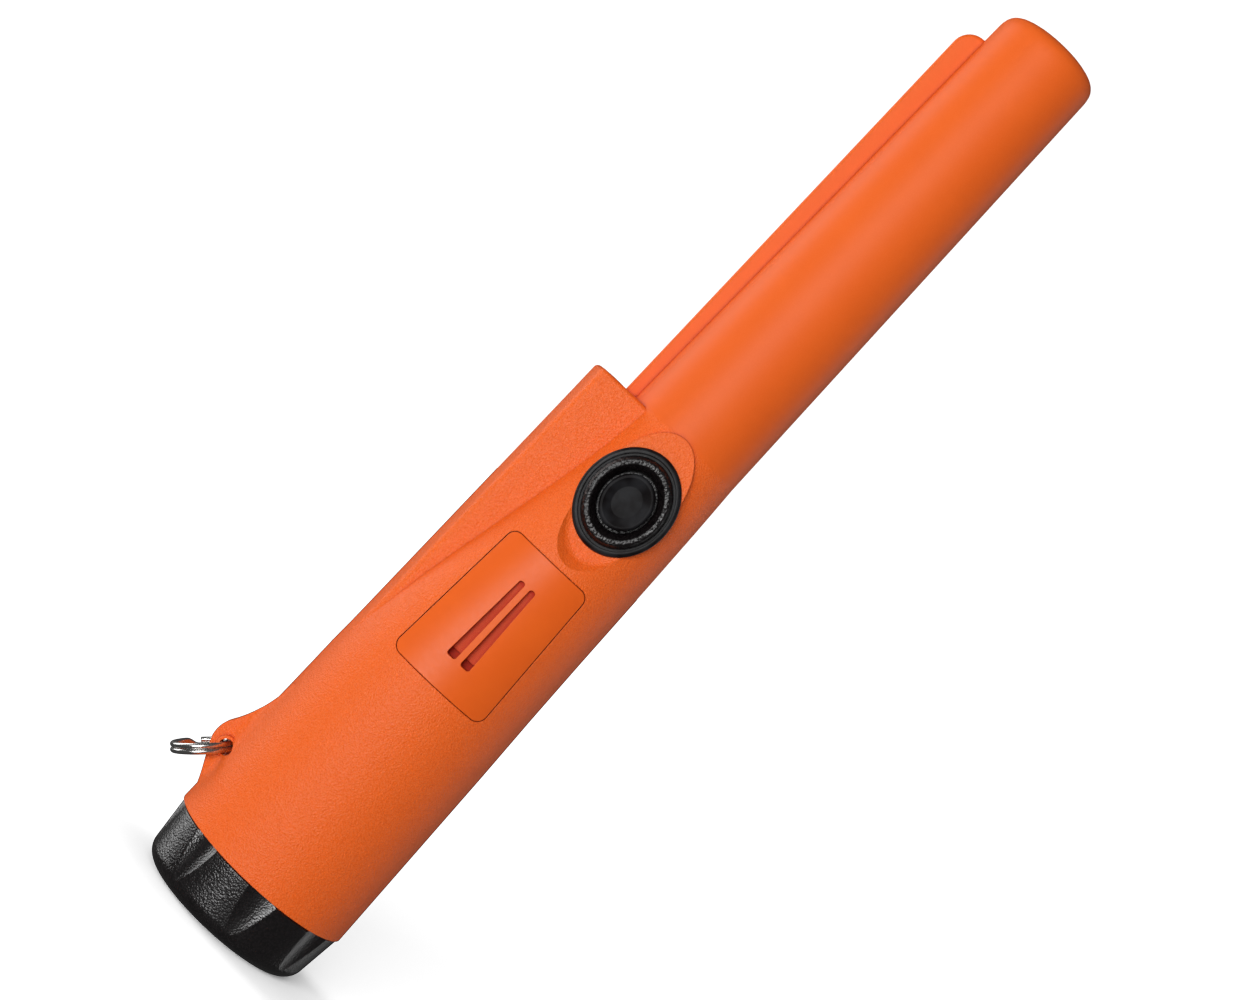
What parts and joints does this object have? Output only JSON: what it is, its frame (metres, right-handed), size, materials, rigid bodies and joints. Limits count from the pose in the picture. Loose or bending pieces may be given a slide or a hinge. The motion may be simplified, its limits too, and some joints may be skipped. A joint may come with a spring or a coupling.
{
  "type": "pinpointer probe",
  "caption": "Hand-held metal-detecting probe with a tapered shaft and sensing tip, scraping blade, push button, speaker cover, lanyard ring and screw-off battery cap",
  "frame": {"origin": "Centre of the flat end face of the battery cap, on the cap's screw axis.", "axes": "+Z runs along the probe from the battery cap to the sensing tip. -Y is the face with the button and the speaker. -X is the side with the scraping blade, the light and the lanyard lug. +X completes the right-handed frame."},
  "size_m": [0.0492, 0.0402, 0.229],
  "materials": {
    "orange_grip_plastic": "moulded orange, fine pebble grain on the grip, satin on the shaft",
    "orange_cover_plastic": "moulded orange, smoother and glossier than the grip",
    "black_flange_plastic": "smooth black with a soft sheen",
    "black_boot_rubber": "pebbled black rubber",
    "black_key_plastic": "smooth dished black key",
    "membrane_film": "dark red acoustic film",
    "speaker_can": "dull metal can",
    "lead_insulation": "thin insulated wire",
    "switch_plastic": "black switch housing",
    "plunger_plastic": "light grey plunger",
    "board_laminate": "green solder mask",
    "screw_steel": "zinc plated steel",
    "chip_resin": "black epoxy",
    "tinned_metal": "tinned legs",
    "capacitor_can": "bare aluminium cans",
    "sled_plastic": "light grey moulding",
    "motor_steel": "drawn steel can",
    "weight_metal": "sintered heavy metal",
    "contact_spring": "plated spring strip",
    "led_resin": "clear resin",
    "lens_plastic": "clear moulded lens",
    "ferrite": "dark grey ferrite",
    "former_plastic": "natural plastic",
    "enamelled_wire": "enamelled copper wire",
    "foam": "dark closed-cell foam",
    "battery_jacket": "painted metal jacket",
    "terminal_steel": "nickel plated studs",
    "black_cap_rubber": "black, coarse pebble grain with worn highlights",
    "seal_rubber": "black O-ring rubber",
    "ring_steel": "bright polished steel wire"
  },
  "bodies": {
    "probe_body": {"housing": "orange_grip_plastic", "speaker_cover": "orange_cover_plastic", "button_flange": "black_flange_plastic", "button_boot": "black_boot_rubber", "speaker_membrane": "membrane_film", "speaker": "speaker_can", "speaker_leads": "lead_insulation", "battery_leads": "lead_insulation", "switch_body": "switch_plastic", "main_board": "board_laminate", "contact_plate": "board_laminate", "board_screws": "screw_steel", "controller_chip": "chip_resin", "amplifier_chip": "chip_resin", "chip_leads": "tinned_metal", "capacitors": "capacitor_can", "sled": "sled_plastic", "motor_can": "motor_steel", "battery_contacts": "contact_spring", "led": "led_resin", "led_leads": "tinned_metal", "led_lens": "lens_plastic", "ferrite_rod": "ferrite", "coil_former": "former_plastic", "transmit_coil": "enamelled_wire", "receive_coil": "enamelled_wire", "coil_leads": "lead_insulation", "tip_cushion": "foam"},
    "button": {"power_button": "black_key_plastic"},
    "switch_pin": {"switch_plunger": "plunger_plastic"},
    "motor_rotor": {"motor_shaft": "motor_steel", "motor_weight": "weight_metal"},
    "battery_pack": {"battery": "battery_jacket", "battery_terminals": "terminal_steel"},
    "cap": {"battery_cap": "black_cap_rubber", "battery_pad": "foam", "cap_seal": "seal_rubber"},
    "ring": {"split_ring": "ring_steel"}
  },
  "joints": [
    {"name": "key_press", "type": "slide", "parent": "probe_body", "child": "button", "axis": [0, 1, 0], "range_m": [0, 0.0005], "stiffness_N_per_m": 1500, "springref_m": -0.0004},
    {"name": "plunger_press", "type": "slide", "parent": "probe_body", "child": "switch_pin", "axis": [0, 1, 0], "range_m": [0, 0.0005]},
    {"name": "rotor_spin", "type": "hinge", "parent": "probe_body", "child": "motor_rotor", "pos_m": [0.0026, 0.0022, 0.107], "axis": [0, 0, 1], "continuous": true},
    {"name": "cap_turn", "type": "hinge", "parent": "battery_pack", "child": "cap", "pos_m": [0, 0, 0.012], "axis": [0, 0, -1], "range_deg": [0, 1170]},
    {"name": "battery_travel", "type": "slide", "parent": "probe_body", "child": "battery_pack", "axis": [0, 0, -1], "range_m": [0, 0.013]},
    {"name": "ring_swing", "type": "hinge", "parent": "probe_body", "child": "ring", "pos_m": [-0.02065, 0, 0.0246], "axis": [0, 1, 0], "range_deg": [-30, 100]}
  ],
  "couplings": [
    {"joint": "plunger_press", "follows": "key_press", "ratio": 1},
    {"joint": "battery_travel", "follows": "cap_turn", "m_per_rad": 0.00063662}
  ]
}
